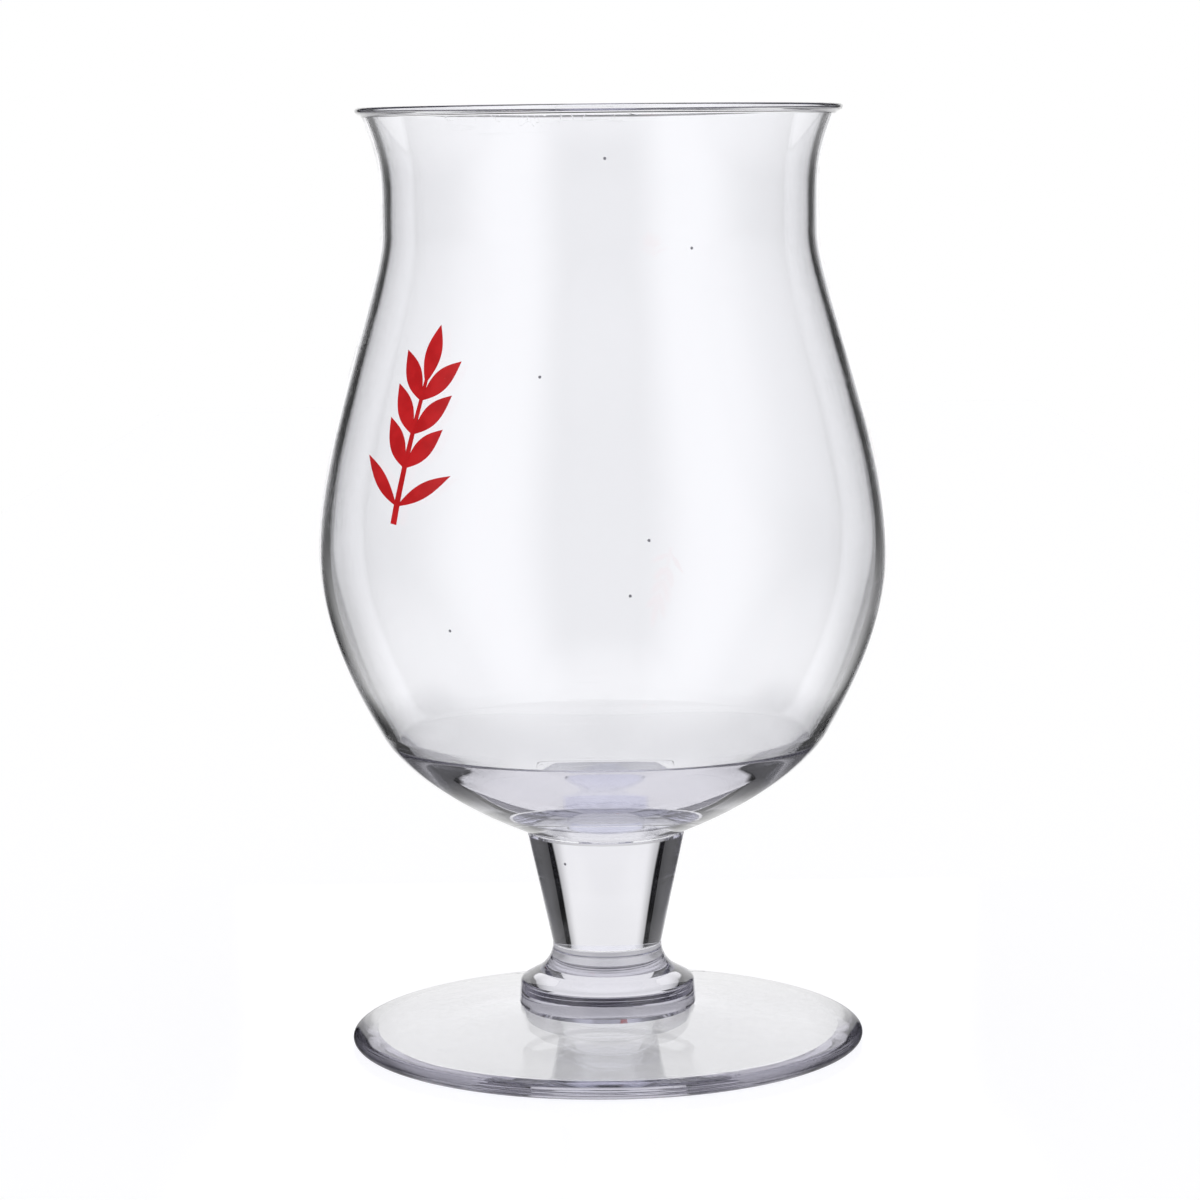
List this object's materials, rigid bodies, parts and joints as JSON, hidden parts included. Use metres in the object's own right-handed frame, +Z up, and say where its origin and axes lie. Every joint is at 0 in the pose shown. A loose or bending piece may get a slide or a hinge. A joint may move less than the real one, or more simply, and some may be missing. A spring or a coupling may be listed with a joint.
{
  "type": "beer glass",
  "caption": "Stemmed tulip beer glass in clear plastic: round belly, waisted neck, flared lip, solid tapered stem, wide conical foot with a collar, red printed motif.",
  "frame": {"origin": "centre of the foot's circle, on the plane the foot stands on", "axes": "+Z up along the stem; the picture looks along +Y; +X to the right of the picture"},
  "size_m": [0.0944, 0.0944, 0.156],
  "materials": {
    "clear_plastic": "clear, polished, with fine wear",
    "bond_film": "clear cured adhesive",
    "red_ink": "opaque printed ink, satin"
  },
  "bodies": {
    "root": {"bowl": "clear_plastic", "bowl_bond": "bond_film", "stem": "clear_plastic", "foot_bond": "bond_film", "foot": "clear_plastic", "bowl_print": "red_ink"}
  },
  "joints": []
}
